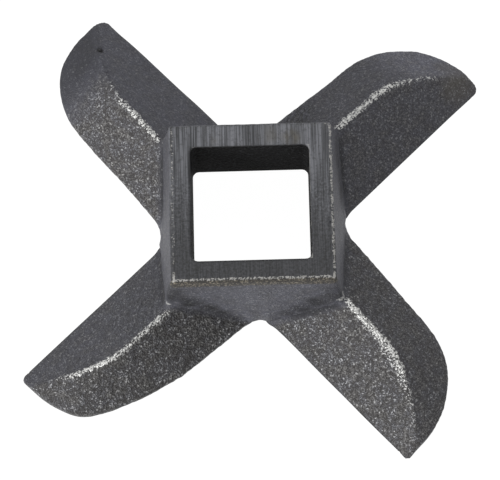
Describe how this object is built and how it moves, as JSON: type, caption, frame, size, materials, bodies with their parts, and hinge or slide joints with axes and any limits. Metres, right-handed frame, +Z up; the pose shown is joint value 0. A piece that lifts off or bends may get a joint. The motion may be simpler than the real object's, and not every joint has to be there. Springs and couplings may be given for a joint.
{
  "type": "meat grinder knife",
  "caption": "Cast iron cross knife for a meat grinder: ridged arms with straight cutting edges round a tall hub with a square drive hole, cutting clockwise.",
  "frame": {"origin": "axis of the square bore, in the plane of the cutting edges on which the knife lies", "axes": "+Z up the bore to the ground face of the hub; +X and +Y square to the flats of the bore, so each arm lies on a diagonal"},
  "size_m": [0.0574, 0.0574, 0.0138],
  "materials": {
    "cast_iron": "dark grainy cast skin, ridges and rims worn bright, ground hub face"
  },
  "bodies": {
    "root": {"grinder_knife": "cast_iron"}
  },
  "joints": []
}
